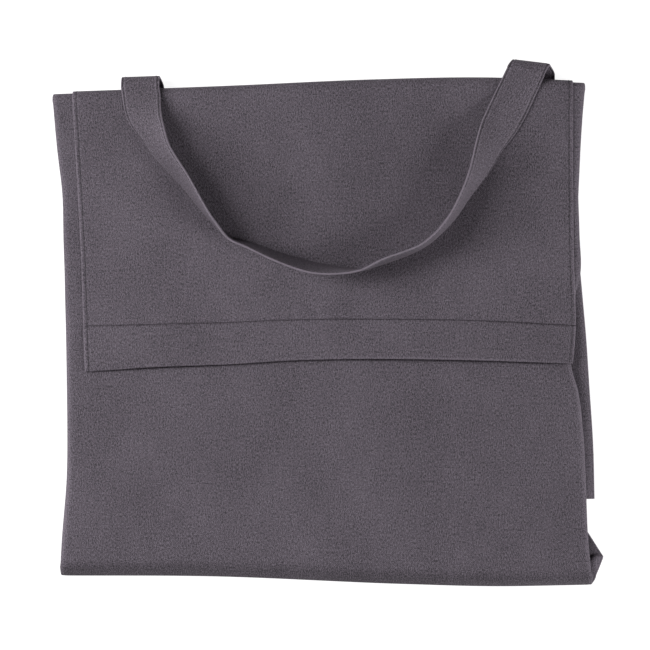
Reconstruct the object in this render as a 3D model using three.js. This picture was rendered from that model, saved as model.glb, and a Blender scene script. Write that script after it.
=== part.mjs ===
// A kitchen apron of cotton twill, folded flat as it is sold and lying with its pocket upwards.
// Millimetres, +Z up. X runs across the folded apron and Y along it, and the origin is under its middle.
// The apron lies upside down: its hem end is turned under at +Y, then its bib end at -Y, so the bib is
// the lowest layer. The neck strap comes from the bib, over the edge at +Y, and lies on the pocket.
import * as THREE from 'three';

// Cloth
const TWILL = 1; // one wall of twill
const AIR = 0.35; // air between walls that lie on each other
const STRAP_WIDTH = 26; // the strap and the ties are twill folded over and sewn flat
const STRAP_THICK = 1.6;
const TIE_THICK = 1.2;

// The apron as it was cut
const SKIRT_WIDTH = 680;
const BIB_WIDTH = 338;
const BIB_LENGTH = 288; // from the fold at the waist to the top of the bib
const BIB_CENTRE = 4; // the bib lies this far to the right of the folded apron's middle
const ARMHOLE_RISE = 180; // each armhole is cut from the waist to this height on the bib
const ARMHOLE_BEND = 2.2; // how hollow the armhole is: 1 would be a straight cut
const SIDE_HEM = 8; // turned in along the armholes
const HEM_LINE = -118.8; // Y where the skirt's hem ends, under the front
const POCKET_HEM = 27;
const POCKET_HEM_THICK = 0.8; // how far the turned cloth makes the pocket's hem stand up
const POCKET_BACK = 24; // the pocket goes on under the fold for this length
const POCKET_LIFT = 2; // how far the pocket's mouth gapes
const POCKET_SEAM = 1.5; // the hem steps down to one wall over this width
const TIES = [
  { name: 'waist_tie_left', side: -1, y: -150 },
  { name: 'waist_tie_right', side: 1, y: -118 },
];
const TIE_RUNS = [20, 150, -150, 130]; // X where a tie starts, turns back twice and ends

// How finely the cloth is divided
const ACROSS_STEPS = 12;
const FOLD_STEPS = 6; // round each folded end
const SIDE_STEPS = 4; // round each turned-in side
const FLAP_STEPS = 3;
const STRAP_STEPS = 48; // along the strap where it lies on the pocket
const LOOP_STEPS = 10; // where the strap turns over the folded edge

// Heights of the layers' middles, from the bib on the table up to the pocket
const SIDE_RADIUS = (TWILL + AIR) / 2;
const TIE_ROOM = (TIE_RUNS.length - 1) * (TIE_THICK + AIR) + AIR;
const BIB_Z = TWILL / 2;
const SKIRT_Z = BIB_Z + TWILL + STRAP_THICK + 2 * AIR;
const FRONT_Z = SKIRT_Z + 4 * SIDE_RADIUS + TWILL + TIE_ROOM;
const POCKET_OVER = TWILL + AIR; // the pocket's middle above the front's
const STRAP_FLOOR = FRONT_Z + POCKET_OVER + TWILL / 2 + AIR;
const HEM_RADIUS = (FRONT_Z - SKIRT_Z) / 2;
const WAIST_RADIUS = (FRONT_Z - BIB_Z) / 2;

// The sides of each layer of the folded apron, by Y
const FRONT_SIDES = [
  { y: -177, left: -181.8, right: 179.4 },
  { y: -150, left: -180.6, right: 176.5 },
  { y: -105, left: -177.7, right: 174.5 },
  { y: -68, left: -177.4, right: 172.7 },
  { y: -45, left: -177.6, right: 169.9 },
  { y: -27, left: -177.8, right: 165 },
  { y: -5, left: -178.1, right: 166.2 },
  { y: 20, left: -178.6, right: 167.8 },
  { y: 32, left: -178.8, right: 171 },
  { y: 62, left: -179.8, right: 170.4 },
  { y: 92, left: -181.3, right: 170 },
  { y: 125, left: -184.9, right: 171.5 },
  { y: 162, left: -187, right: 174 },
];
const SKIRT_SIDES = [
  { y: HEM_LINE, left: -174, right: 180.3 },
  { y: -84, left: -174, right: 179.8 },
  { y: -45, left: -174, right: 177.5 },
  { y: -9, left: -174, right: 175.1 },
  { y: 19, left: -174.5, right: 173 },
  { y: 58, left: -175.5, right: 170 },
  { y: 110, left: -181, right: 171.5 },
  { y: 162, left: -187, right: 174 },
];
// The bib's right side is pinched out into an ear beside the waist.
const BIB_SIDES = [
  { y: -177, left: -181.8, right: 179.4 },
  { y: -159.5, left: -179, right: 187 },
  { y: -141, left: -177, right: 174 },
  { y: -120, left: -175, right: 171 },
  { y: 120, left: -172, right: 168 },
];
// The packet's two folded edges, and the mouth of the pocket, by X
const HEM_FOLD = [
  { x: -187, y: 155.3 },
  { x: -68, y: 160 },
  { x: 30, y: 164 },
  { x: 100, y: 165.4 },
  { x: 174, y: 162.8 },
];
const WAIST_FOLD = [
  { x: -182, y: -170.9 },
  { x: -83, y: -171.8 },
  { x: 54, y: -177.5 },
  { x: 110, y: -178.9 },
  { x: 179, y: -176.9 },
];
const POCKET_MOUTH = [
  { x: -165, y: -32, gape: 0 },
  { x: -60, y: -26.2, gape: 0.1 },
  { x: 0, y: -24.9, gape: 0.4 },
  { x: 90, y: -24.2, gape: 1 },
  { x: 165, y: -26.4, gape: 0 },
];
const POCKET_SIDES = [
  { y: -30, left: -165.2, right: 165.4 },
  { y: 0, left: -166.6, right: 167.6 },
  { y: 45, left: -167.9, right: 166.8 },
  { y: 108, left: -171.5, right: 166.6 },
  { y: 160, left: -175, right: 167.2 },
];
// The strap's inner edge where it lies on the pocket, and its lean: 0 lies flat and 90 stands on edge
const STRAP_ON_POCKET = [
  { x: -114.8, y: 155.3, lean: 3 },
  { x: -114.5, y: 144.4, lean: 19 },
  { x: -112.1, y: 131.9, lean: 44 },
  { x: -108.7, y: 120.1, lean: 62 },
  { x: -95.8, y: 100, lean: 79 },
  { x: -75.7, y: 67.2, lean: 87 },
  { x: -67.2, y: 56.7, lean: 92 },
  { x: -55, y: 50.9, lean: 99 },
  { x: -36.6, y: 42.1, lean: 104 },
  { x: -10.8, y: 33.7, lean: 107 },
  { x: 10.3, y: 33.6, lean: 99 },
  { x: 21.9, y: 35.9, lean: 91 },
  { x: 34.1, y: 42.1, lean: 85 },
  { x: 64.7, y: 54.8, lean: 85 },
  { x: 81, y: 72.7, lean: 80 },
  { x: 89.7, y: 89.7, lean: 74 },
  { x: 95.1, y: 103.7, lean: 62 },
  { x: 100.5, y: 124, lean: 43 },
  { x: 104.5, y: 136.4, lean: 26 },
  { x: 113.6, y: 156, lean: 3 },
];
// Where the strap turns over the folded edge: X on top and below, the loop's reach in Y, and the way its
// width points on top and below, in degrees from +X
const STRAP_LOOPS = {
  left: { top: -128, under: -127, reach: 167.3, across: [0, 0] },
  right: { top: 134.5, under: 142, reach: 177.8, across: [166, 178] },
};
const STRAP_SEWN = 25; // length of each end that is sewn to the bib

const { lerp, degToRad } = THREE.MathUtils;

// Counts from 0 to 1 in a number of equal steps.
const steps = (count) => Array.from({ length: count + 1 }, (_, i) => i / count);

// Reads a table by its first column, smoothly between the rows.
function reader(table) {
  const [key, ...columns] = Object.keys(table[0]);
  const values = table.flatMap((row) => columns.map((column) => row[column]));
  const curve = new THREE.CubicInterpolant(table.map((row) => row[key]), values, columns.length);
  return (at) => {
    const found = curve.evaluate(at);
    return Object.fromEntries(columns.map((column, i) => [column, found[i]]));
  };
}

const frontSides = reader(FRONT_SIDES);
const skirtSides = reader(SKIRT_SIDES);
const bibSides = reader(BIB_SIDES);
const hemFold = reader(HEM_FOLD);
const waistFold = reader(WAIST_FOLD);
const pocketMouth = reader(POCKET_MOUTH);
const pocketSides = reader(POCKET_SIDES);

// The lines about which the two ends turn under
const hemLineY = (x) => hemFold(x).y - HEM_RADIUS - TWILL / 2;
const waistLineY = (x) => waistFold(x).y + WAIST_RADIUS + TWILL / 2;

// A closed wall: point(row, column, face) places its corners, with face 1 the outer one.
function wall(rows, columns, point) {
  const corners = [];
  const index = [];
  const at = (row, column, face) => (face * rows + row) * columns + column;
  const quad = (a, b, c, d) => index.push(a, b, c, a, c, d);
  for (let face = 0; face < 2; face++)
    for (let row = 0; row < rows; row++)
      for (let column = 0; column < columns; column++) corners.push(...point(row, column, face));
  for (let r = 0; r < rows - 1; r++)
    for (let c = 0; c < columns - 1; c++) {
      quad(at(r, c, 1), at(r, c + 1, 1), at(r + 1, c + 1, 1), at(r + 1, c, 1));
      quad(at(r, c, 0), at(r + 1, c, 0), at(r + 1, c + 1, 0), at(r, c + 1, 0));
    }
  for (let c = 0; c < columns - 1; c++) {
    quad(at(0, c, 0), at(0, c + 1, 0), at(0, c + 1, 1), at(0, c, 1));
    quad(at(rows - 1, c, 1), at(rows - 1, c + 1, 1), at(rows - 1, c + 1, 0), at(rows - 1, c, 0));
  }
  for (let r = 0; r < rows - 1; r++) {
    quad(at(r, 0, 1), at(r + 1, 0, 1), at(r + 1, 0, 0), at(r, 0, 0));
    quad(at(r, columns - 1, 0), at(r + 1, columns - 1, 0), at(r + 1, columns - 1, 1), at(r, columns - 1, 1));
  }
  const geometry = new THREE.BufferGeometry();
  geometry.setAttribute('position', new THREE.Float32BufferAttribute(corners, 3));
  geometry.setIndex(index);
  geometry.computeVertexNormals();
  return geometry;
}

// How each stretch of the apron lies: lay(x, height) gives Y and Z of a point at that height over the cloth's
// middle, on its outer side.
const onFront = (share) => (x, height) => [lerp(waistLineY(x), hemLineY(x), share), FRONT_Z + height];
const onSkirt = (share) => (x, height) => [lerp(hemLineY(x), HEM_LINE, share), SKIRT_Z - height];
const onBib = (share) => (x, height) => {
  const waist = waistLineY(x);
  return [lerp(waist, BIB_LENGTH + waistLineY(BIB_CENTRE), share), BIB_Z - height];
};
const roundHem = (share) => (x, height) => {
  const angle = share * Math.PI;
  const radius = HEM_RADIUS + height;
  return [hemLineY(x) + radius * Math.sin(angle), FRONT_Z - HEM_RADIUS + radius * Math.cos(angle)];
};
const roundWaist = (share) => (x, height) => {
  const angle = share * Math.PI;
  const radius = WAIST_RADIUS + height;
  return [waistLineY(x) - radius * Math.sin(angle), FRONT_Z - WAIST_RADIUS + radius * Math.cos(angle)];
};

// Half the width of the cut at a distance up the bib from the waist
function cutHalf(rise) {
  const below = Math.max(0, 1 - rise / ARMHOLE_RISE);
  return BIB_WIDTH / 2 + (SKIRT_WIDTH - BIB_WIDTH) / 2 * below ** ARMHOLE_BEND;
}

// Where the sides turn in on one row of the apron, and how wide the turned-in flaps are
function sideFolds(sides, rise) {
  const inset = SIDE_RADIUS + TWILL / 2;
  const edge = cutHalf(rise);
  const left = Math.max(sides.left + inset, BIB_CENTRE - edge + SIDE_HEM);
  const right = Math.min(sides.right - inset, BIB_CENTRE + edge - SIDE_HEM);
  return { left, right, leftFlap: left - (BIB_CENTRE - edge), rightFlap: BIB_CENTRE + edge - right };
}

// The apron's own cloth, from the top of the bib round both folded ends to the skirt's hem
function bodyGeometry() {
  const bibY = (share) => onBib(share)(BIB_CENTRE, 0)[0];
  const frontY = (share) => onFront(share)(0, 0)[0];
  const skirtY = (share) => onSkirt(share)(0, 0)[0];
  const shareAt = (stretchY) => ({ y }) => (y - stretchY(0)) / (stretchY(1) - stretchY(0));
  const [, ...earSides] = BIB_SIDES.slice(0, -1);
  const armhole = steps(ACROSS_STEPS).map((s) => ({ y: lerp(bibY(1), earSides.at(-1).y, s) }));
  const bibShares = [...armhole, ...earSides.slice(0, -1).toReversed()].map(shareAt(bibY));
  const frontShares = FRONT_SIDES.slice(1, -1).map(shareAt(frontY));
  const skirtShares = SKIRT_SIDES.slice(0, -1).toReversed().map(shareAt(skirtY));
  const [waist, hem] = [FRONT_SIDES[0], FRONT_SIDES.at(-1)].map((sides) => sideFolds(sides, 0));
  const rows = [
    ...bibShares.map((s) => ({ lay: onBib(s), folds: sideFolds(bibSides(bibY(s)), s * BIB_LENGTH) })),
    ...steps(FOLD_STEPS).map((s) => ({ lay: roundWaist(1 - s), folds: waist })),
    ...frontShares.map((s) => ({ lay: onFront(s), folds: sideFolds(frontSides(frontY(s)), 0) })),
    ...steps(FOLD_STEPS).map((s) => ({ lay: roundHem(s), folds: hem })),
    ...skirtShares.map((s) => ({ lay: onSkirt(s), folds: sideFolds(skirtSides(skirtY(s)), 0) })),
  ];
  const [, ...flapShares] = steps(FLAP_STEPS);
  const [, ...turns] = steps(SIDE_STEPS);
  const columns = [
    ...flapShares.toReversed().map((share) => ({ side: 'left', share })),
    ...turns.toReversed().map((turn) => ({ side: 'left', turn })),
    ...steps(ACROSS_STEPS).map((share) => ({ side: 'middle', share })),
    ...turns.map((turn) => ({ side: 'right', turn })),
    ...flapShares.map((share) => ({ side: 'right', share })),
  ];
  return wall(rows.length, columns.length, (r, c, face) => {
    const { lay, folds } = rows[r];
    const { side, share, turn } = columns[c];
    const out = (face - 0.5) * TWILL;
    const way = side === 'left' ? -1 : 1;
    let x = lerp(folds.left, folds.right, share);
    let height = out;
    if (side !== 'middle' && turn !== undefined) {
      x = folds[side] + way * (SIDE_RADIUS + out) * Math.sin(turn * Math.PI);
      height = (SIDE_RADIUS + out) * Math.cos(turn * Math.PI) - SIDE_RADIUS;
    } else if (side !== 'middle') {
      x = folds[side] - way * share * folds[side + 'Flap'];
      height = -2 * SIDE_RADIUS - out;
    }
    return [x, ...lay(x, height)];
  });
}

// The patch pocket: its hemmed mouth, then up the front, round the folded edge and a little way under it
function pocketGeometry() {
  const below = (distance) => (x, height) => {
    const mouth = pocketMouth(x);
    const open = POCKET_LIFT * mouth.gape * Math.max(0, 1 - distance / (2 * POCKET_HEM)) ** 2;
    return [mouth.y + distance, FRONT_Z + height + open];
  };
  const above = (share) => (x, height) => (
    [lerp(pocketMouth(x).y + 2 * POCKET_HEM, hemLineY(x), share), FRONT_Z + height]);
  const under = (distance) => (x, height) => [hemLineY(x) - distance, SKIRT_Z - height];
  const rows = [
    { lay: below(0), hem: 1 },
    { lay: below(POCKET_HEM - POCKET_SEAM), hem: 1 },
    { lay: below(POCKET_HEM), hem: 0 },
    { lay: below(1.5 * POCKET_HEM), hem: 0 },
    ...steps(FOLD_STEPS).slice(0, -1).map((s) => ({ lay: above(s), hem: 0 })),
    ...steps(FOLD_STEPS).map((s) => ({ lay: roundHem(s), hem: 0 })),
    { lay: under(POCKET_BACK), hem: 0 },
  ];
  const columns = steps(ACROSS_STEPS);
  return wall(rows.length, columns.length, (r, c, face) => {
    const { lay, hem } = rows[r];
    const { left, right } = pocketSides(lay(0, 0)[0]);
    const x = lerp(left, right, columns[c]);
    const stands = face * hem * POCKET_HEM_THICK;
    return [x, ...lay(x, POCKET_OVER + (face - 0.5) * TWILL + stands)];
  });
}

// A flat band through sections that each have a middle and the way its width points
function bandGeometry(sections, width, thick) {
  const normals = sections.map(({ across }, i) => {
    const before = sections[Math.max(0, i - 1)].middle;
    const after = sections[Math.min(sections.length - 1, i + 1)].middle;
    return new THREE.Vector3().crossVectors(across, after.clone().sub(before)).normalize();
  });
  return wall(sections.length, 2, (row, column, face) => sections[row].middle.clone()
    .addScaledVector(sections[row].across, (0.5 - column) * width)
    .addScaledVector(normals[row], (0.5 - face) * thick)
    .toArray());
}

const level = (degrees) => new THREE.Vector3(Math.cos(degToRad(degrees)), Math.sin(degToRad(degrees)), 0);

// One end of the neck strap, from where it is sewn to the bib, up under the apron and over the folded edge
function strapEnd({ top, under, reach, across }) {
  const low = STRAP_THICK / 2;
  const high = STRAP_FLOOR + STRAP_THICK / 2;
  const radius = (high - low) / 2;
  const turnY = reach - radius - STRAP_THICK / 2;
  const bibTop = onBib(1)(BIB_CENTRE, 0)[0];
  const sewnZ = BIB_Z + TWILL / 2 + AIR + low;
  const flat = [[bibTop - STRAP_SEWN, sewnZ], [bibTop + 1, sewnZ], [bibTop + 8, low], [turnY - 12, low]];
  return [
    ...flat.map(([y, z]) => ({ middle: new THREE.Vector3(under, y, z), across: level(across[1]) })),
    ...steps(LOOP_STEPS).map((share) => ({
      middle: new THREE.Vector3(
        lerp(under, top, share),
        turnY + radius * Math.sin(share * Math.PI),
        (low + high) / 2 - radius * Math.cos(share * Math.PI),
      ),
      across: level(lerp(across[1], across[0], share)),
    })),
  ];
}

// The neck strap: flat over the edge at both ends, and twisted onto its edge round the bend between them
function strapGeometry() {
  const inner = new THREE.CatmullRomCurve3(
    STRAP_ON_POCKET.map(({ x, y, lean }) => new THREE.Vector3(x, y, lean)),
  );
  const onPocket = steps(STRAP_STEPS).map((share) => {
    const { x, y, z: lean } = inner.getPoint(share);
    const heading = inner.getTangent(share).setZ(0).normalize();
    const inward = new THREE.Vector3(-heading.y, heading.x, 0);
    const [flat, up] = [Math.cos(degToRad(lean)), Math.sin(degToRad(lean))];
    const lift = STRAP_FLOOR + up * STRAP_WIDTH / 2 + Math.abs(flat) * STRAP_THICK / 2;
    return {
      middle: new THREE.Vector3(x, y, lift).addScaledVector(inward, -flat * STRAP_WIDTH / 2),
      across: inward.multiplyScalar(flat).setZ(up),
    };
  });
  const sections = [...strapEnd(STRAP_LOOPS.left), ...onPocket, ...strapEnd(STRAP_LOOPS.right).toReversed()];
  return bandGeometry(sections, STRAP_WIDTH, STRAP_THICK);
}

// A waist tie, laid to and fro between the turned-in flaps, where it is out of sight
function tieGeometry({ side, y }) {
  const turn = (TIE_THICK + AIR) / 2;
  const sections = [];
  let z = SKIRT_Z + 2 * SIDE_RADIUS + TWILL / 2 + AIR + TIE_THICK / 2;
  const lay = (x, height) => sections.push({
    middle: new THREE.Vector3(side * x, y, height),
    across: new THREE.Vector3(0, side, 0),
  });
  TIE_RUNS.forEach((x, run) => {
    const ends = run === 0 || run === TIE_RUNS.length - 1;
    if (ends) {
      lay(x, z);
      return;
    }
    const way = Math.sign(x);
    for (const share of steps(FOLD_STEPS)) {
      const angle = share * Math.PI;
      lay(x + way * turn * Math.sin(angle), z + turn * (1 - Math.cos(angle)));
    }
    z += 2 * turn;
  });
  return bandGeometry(sections, STRAP_WIDTH, TIE_THICK);
}

const twill = new THREE.MeshStandardMaterial({ color: 0x5a555c, roughness: 0.92, metalness: 0 });
const strapTwill = new THREE.MeshStandardMaterial({ color: 0x5e5960, roughness: 0.9, metalness: 0 });

const apron = new THREE.Group();
function sew(name, geometry, material) {
  const piece = new THREE.Mesh(geometry, material);
  piece.name = name;
  apron.add(piece);
}
sew('apron_body', bodyGeometry(), twill);
sew('pocket', pocketGeometry(), twill);
sew('neck_strap', strapGeometry(), strapTwill);
for (const tie of TIES) sew(tie.name, tieGeometry(tie), strapTwill);

export default apron;
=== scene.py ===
import math

import bmesh
import bpy
import numpy as np
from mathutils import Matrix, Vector, noise


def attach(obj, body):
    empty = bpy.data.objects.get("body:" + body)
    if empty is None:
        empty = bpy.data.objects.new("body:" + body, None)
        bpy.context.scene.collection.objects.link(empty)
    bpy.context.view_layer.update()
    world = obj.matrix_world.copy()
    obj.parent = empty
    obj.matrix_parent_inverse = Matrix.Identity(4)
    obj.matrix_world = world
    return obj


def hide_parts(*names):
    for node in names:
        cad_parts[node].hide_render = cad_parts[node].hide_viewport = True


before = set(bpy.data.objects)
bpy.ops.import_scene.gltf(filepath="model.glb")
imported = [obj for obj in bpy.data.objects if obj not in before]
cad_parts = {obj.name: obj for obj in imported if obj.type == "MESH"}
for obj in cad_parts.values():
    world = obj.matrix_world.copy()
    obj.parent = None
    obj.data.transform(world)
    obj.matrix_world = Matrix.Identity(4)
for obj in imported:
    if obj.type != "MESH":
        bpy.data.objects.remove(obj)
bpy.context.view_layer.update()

# The apron's own cloth
# One piece of cotton twill, cut as a bib and a skirt. Its sides are turned in, then the hem end is turned
# under at the far edge and the bib end under that at the near edge, so the bib lies lowest.

MM = 0.001
TWILL = 0.9  # one wall of twill, in millimetres as are the other sizes here
SIDE_RADIUS = 0.85  # of the turned-in sides
BIB_Z, SKIRT_Z, FRONT_Z = 0.6, 3.8, 12.5  # the layers' middles over the table
HEM_RADIUS = (FRONT_Z - SKIRT_Z) / 2
WAIST_RADIUS = (FRONT_Z - BIB_Z) / 2
WAIST_Z = 3.6  # of the waist fold's outermost line, so its upper half slopes further than its lower one
WAIST_SLOPE = 1.6  # 2 is a round slope, and 1 a straight one
SKIRT_WIDTH, BIB_WIDTH, BIB_LENGTH, BIB_CENTRE = 680, 338, 288, 4
ARMHOLE_RISE, ARMHOLE_BEND, SIDE_HEM = 180, 2.2, 8
HEM_LINE = -119.9  # Y where the skirt's hem ends
BROAD_WAVE, FINE_WAVE, SKIRT_WAVE = 0.55, 0.25, 0.4  # heights of the waves in the front and in the skirt
SAG, SAG_WIDTH = 1.0, 30  # how far the front droops towards its right side
LEFT_ROLL, LEFT_ROLL_WIDTH = 3.6, 6  # how far it rolls off at its left side
ROLL_START, ROLL_START_Y = 0.45, (-172, -135)  # that roll's share at the waist, and where it grows
ROLL_FADE, ROLL_FADE_Y = 0.9, (-60, 30)  # the share that it loses further up, and where
RIGHT_ROLL, RIGHT_ROLL_WIDTH = 1.7, 3.4  # how far the front rolls off at its right side
DENT_SLOPE, DENT_SLOPE_SHARE = 5, 0.45  # reach of the slope at the pocket's mouth, and its share of the dip
DENT_STEEP, DENT_FADE = 1.4, (10, 60)  # reach of its steep part, and where it ends under the pocket
STRIP_ROLL, STRIP_ROLL_BEND = 3.0, 2.4  # of the skirt where it shows beside the front
STRIP_ROLL_Y, STRIP_ROLL_WIDTHS = (-100, -20), (10, 6)  # its width at two places
STRIP_ROLL_FADE_Y = (40, 110)  # where it ends
EAR_Y, EAR_REACH, EAR_WIDTH = -157.2, 14, 26.5  # the pinched ear beside the waist
EAR_HEIGHT, EAR_FAR_HEIGHT = 5, 1.2  # before its crease, and beyond it
EAR_CREASE_X, EAR_CREASE_Y, EAR_SLANT = 178.8, EAR_Y - 3.6, 0.3
EAR_RISE, EAR_STEP, EAR_FALL = (-25, -3), 1.6, (9, 22)  # where it rises, steps down and ends, by the crease
EAR_START_X = (168, 180)  # where it starts
EAR_TIP_X, EAR_TIP_DROP = (179, 192.5), 0.92  # where it drops to its tip, and by what share


def table(columns, *rows):
    """Rows of numbers under named columns. The first column is the one that the others are read by."""
    return np.array(list(rows), dtype=[(column, float) for column in columns.split()])


def read(rows, column, at):
    """A column of a table at any place, on a smooth curve through its rows."""
    keys, values = rows[rows.dtype.names[0]], rows[column]
    slopes = np.gradient(values, keys)
    at = np.clip(at, keys[0], keys[-1])
    i = np.clip(np.searchsorted(keys, at, side="right") - 1, 0, len(keys) - 2)
    span = keys[i + 1] - keys[i]
    t = (at - keys[i]) / span
    ease = t * t * (3 - 2 * t)
    bend = t * (1 - t) * span * ((1 - t) * slopes[i] - t * slopes[i + 1])
    return values[i] * (1 - ease) + values[i + 1] * ease + bend


FRONT_SIDES = table(
    "y left right",
    (-177, -183.2, 180), (-150, -181.9, 177.1), (-105, -178.6, 175), (-68, -178.3, 172.9),
    (-45, -178.5, 169.9), (-27, -178.7, 165), (-5, -179, 166.2), (20, -179.5, 167.8), (32, -179.7, 171),
    (62, -180.6, 170.8), (92, -181.3, 170), (125, -184.9, 171.6), (162, -188.1, 174.7),
)
SKIRT_SIDES = table(
    "y left right",
    (HEM_LINE, -171, 181.8), (-84, -171, 180.9), (-45, -171, 178.4), (-9, -171, 176), (19, -172, 173.5),
    (58, -175.5, 170.4), (110, -181, 171.5), (162, -188.1, 174.7),
)
BIB_SIDES = table(
    "y left right", (-177, -183.2, 176), (-141, -177, 172), (-120, -175, 170), (120, -172, 168),
)
HEM_FOLD = table("x y", (-187, 156.3), (-68, 160.7), (30, 165), (100, 166.4), (174, 164.1))
WAIST_FOLD = table(  # where it is, and how much longer than high its upper half is
    "x y ease", (-182, -172.3, 2), (-83, -172.8, 4), (54, -178.2, 4), (110, -179.6, 1), (179, -178.6, 0),
)
CREASES = table(  # what handling left in the front, each along a line
    "x0 y0 x1 y1 width height",
    (-146, -38, -154, -148, 3.5, 0.5),
    (-50, -100, -12, -82, 9, -1), (-12, -82, 62, -80, 11, -1.4), (-80, -43, 140, -43, 18, 1.1),
    (88, -122, 140, -124, 5, 0.35), (60, -138, 130, -140, 7, -0.4), (-100, -151, 30, -156, 13, 1.1),
    (161, -40, 168, -58, 6, 2.2), (142, -46, 156, -62, 9, -1.6), (174, -40, 178, -66, 7, -2.2),
    (-15, 13, -6, 6, 2.4, -1.2), (-4, 6, 12, 8, 3, 1.4), (12, 17, 40, 23, 4, -1.3),
    (26, 7, 56, 6, 2.6, 1.1), (-60, -140, 20, -146, 9, -0.5), (-120, -95, -80, -70, 12, 0.5),
    (-128, 130, -106, 62, 22, 1.6), (-106, 62, -62, 52, 18, 1.2), (118, 150, 102, 100, 20, 1.3),
)
MOUTH_DENT = table(  # where the front goes down under the pocket's mouth, and how deep
    "x y depth", (-163, -32, 0), (-150, -31, 1.1), (-60, -26.7, 1.5), (-30, -24.7, 1.7), (0, -23.7, 1.9),
    (60, -23.5, 3.1), (120, -24.8, 2.9), (155, -26.2, 1.9), (166, -26.8, 0),
)


def hem_line(x):
    """Y of the line about which the hem end turns under."""
    return read(HEM_FOLD, "y", x) - HEM_RADIUS - TWILL / 2


def waist_line(x):
    """Y of the line about which the bib end turns under."""
    return read(WAIST_FOLD, "y", x) + WAIST_RADIUS + TWILL / 2


def ramp(value, low, high):
    """0 below low, 1 above high, and a smooth way between."""
    t = np.clip((value - low) / (high - low), 0, 1)
    return t * t * (3 - 2 * t)


def hump(away, width):
    """1 on a line, and less to both sides of it, over about that width."""
    return np.exp(-((away / width) ** 2))


def rumple(x, y, size, seed):
    """Soft uneven waves of about that size, from -1 to 1."""
    return np.vectorize(lambda a, b: noise.noise(Vector((a / size, b / size, seed))))(x, y)


def relief(x, y):
    """How far the front stands over its flat place."""
    from_left = np.clip(x - read(FRONT_SIDES, "left", y), 0, None)
    from_right = np.clip(read(FRONT_SIDES, "right", y) - x, 0, None)
    height = BROAD_WAVE * rumple(x, y, size=62, seed=3.1) + FINE_WAVE * rumple(x, y, size=24, seed=8.4)
    height = height - SAG * (1 - ramp(from_right, 0, SAG_WIDTH))
    left_roll = LEFT_ROLL * (1 - ROLL_FADE * ramp(y, *ROLL_FADE_Y))
    left_roll = left_roll * (ROLL_START + (1 - ROLL_START) * ramp(y, *ROLL_START_Y))
    height = height - left_roll * np.clip(1 - from_left / LEFT_ROLL_WIDTH, 0, 1) ** 2
    height = height - RIGHT_ROLL * np.clip(1 - from_right / RIGHT_ROLL_WIDTH, 0, 1) ** 2
    for crease in CREASES:
        ahead_x, ahead_y = crease["x1"] - crease["x0"], crease["y1"] - crease["y0"]
        share = ((x - crease["x0"]) * ahead_x + (y - crease["y0"]) * ahead_y) / (ahead_x**2 + ahead_y**2)
        share = np.clip(share, 0, 1)
        away = np.hypot(x - crease["x0"] - share * ahead_x, y - crease["y0"] - share * ahead_y)
        height = height + crease["height"] * hump(away, crease["width"])
    return height


def mouth_dent(x, y):
    """How far the front goes down at the pocket's mouth: in a slope, and steeply at the mouth itself."""
    away = read(MOUTH_DENT, "y", x) - y
    before = np.clip(away, 0, None)
    slope = DENT_SLOPE_SHARE * np.exp(-before / DENT_SLOPE)
    beside = slope + (1 - DENT_SLOPE_SHARE) * hump(before, DENT_STEEP)
    return read(MOUTH_DENT, "depth", x) * np.where(away > 0, beside, 1 - ramp(-away, *DENT_FADE))


def waist_drop(x, beyond, height):
    """How far the front has gone down towards the waist fold, beyond the fold's line by that much."""
    ease = read(WAIST_FOLD, "ease", x)
    share = np.clip((beyond + ease) / (WAIST_RADIUS + height + ease), 0, 1)
    return (FRONT_Z + height - WAIST_Z) * share**WAIST_SLOPE


def ear(x, y):
    """How far the ear lifts off the table: rising to a crease, low beyond it and lower towards its tip."""
    beyond = y - EAR_CREASE_Y - EAR_SLANT * (x - EAR_CREASE_X)
    step = ramp(beyond, 0, EAR_STEP)
    near = EAR_HEIGHT * ramp(beyond, *EAR_RISE) * (1 - step)
    far = EAR_FAR_HEIGHT * step * (1 - ramp(beyond, *EAR_FALL))
    return (near + far) * ramp(x, *EAR_START_X) * (1 - EAR_TIP_DROP * ramp(x, *EAR_TIP_X))


def bib_sides(y):
    """X of the bib's two sides."""
    reach = EAR_REACH * max(0, 1 - abs(y - EAR_Y) / EAR_WIDTH)
    return read(BIB_SIDES, "left", y), read(BIB_SIDES, "right", y) + reach


flap_shares = np.array([
    0.005, 0.011, 0.017, 0.024, 0.032, 0.042, 0.055, 0.075, 0.11, 0.18, 0.3, 0.5, 0.75, 1,
])
turns = np.linspace(0, np.pi, 9)[1:]
edge_steps = np.array([0, 0.7, 1.5, 2.4, 3.5, 5, 7, 9.5, 12.5])
inner_start, inner_columns = edge_steps[-1] + 3, 99


def across(left, right, edge, out=0.0):
    """X and the height over the panel, across a row from cut edge to cut edge, at a distance outside."""
    inset = SIDE_RADIUS + TWILL / 2
    left_fold = max(left + inset, BIB_CENTRE - edge + SIDE_HEM)
    right_fold = min(right - inset, BIB_CENTRE + edge - SIDE_HEM)
    down = (SIDE_RADIUS + out) * np.cos(turns) - SIDE_RADIUS
    down = np.concatenate([down, 0 * flap_shares - 2 * SIDE_RADIUS - out])
    bulge = np.concatenate([(SIDE_RADIUS + out) * np.sin(turns), 0 * flap_shares])
    inwards = np.concatenate([0 * turns, flap_shares])
    left_side = left_fold - bulge + inwards * (edge + left_fold - BIB_CENTRE)
    right_side = right_fold + bulge - inwards * (edge - right_fold + BIB_CENTRE)
    inner = np.linspace(left_fold + inner_start, right_fold - inner_start, inner_columns)
    middle = np.concatenate([left_fold + edge_steps, inner, (right_fold - edge_steps)[::-1]])
    height = np.concatenate([down[::-1], 0 * middle + out, down])
    return np.concatenate([left_side[::-1], middle, right_side]), height


BIB_TOP = BIB_LENGTH + waist_line(BIB_CENTRE)
waist_y, hem_y = waist_line(0.0), hem_line(0.0)


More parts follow.
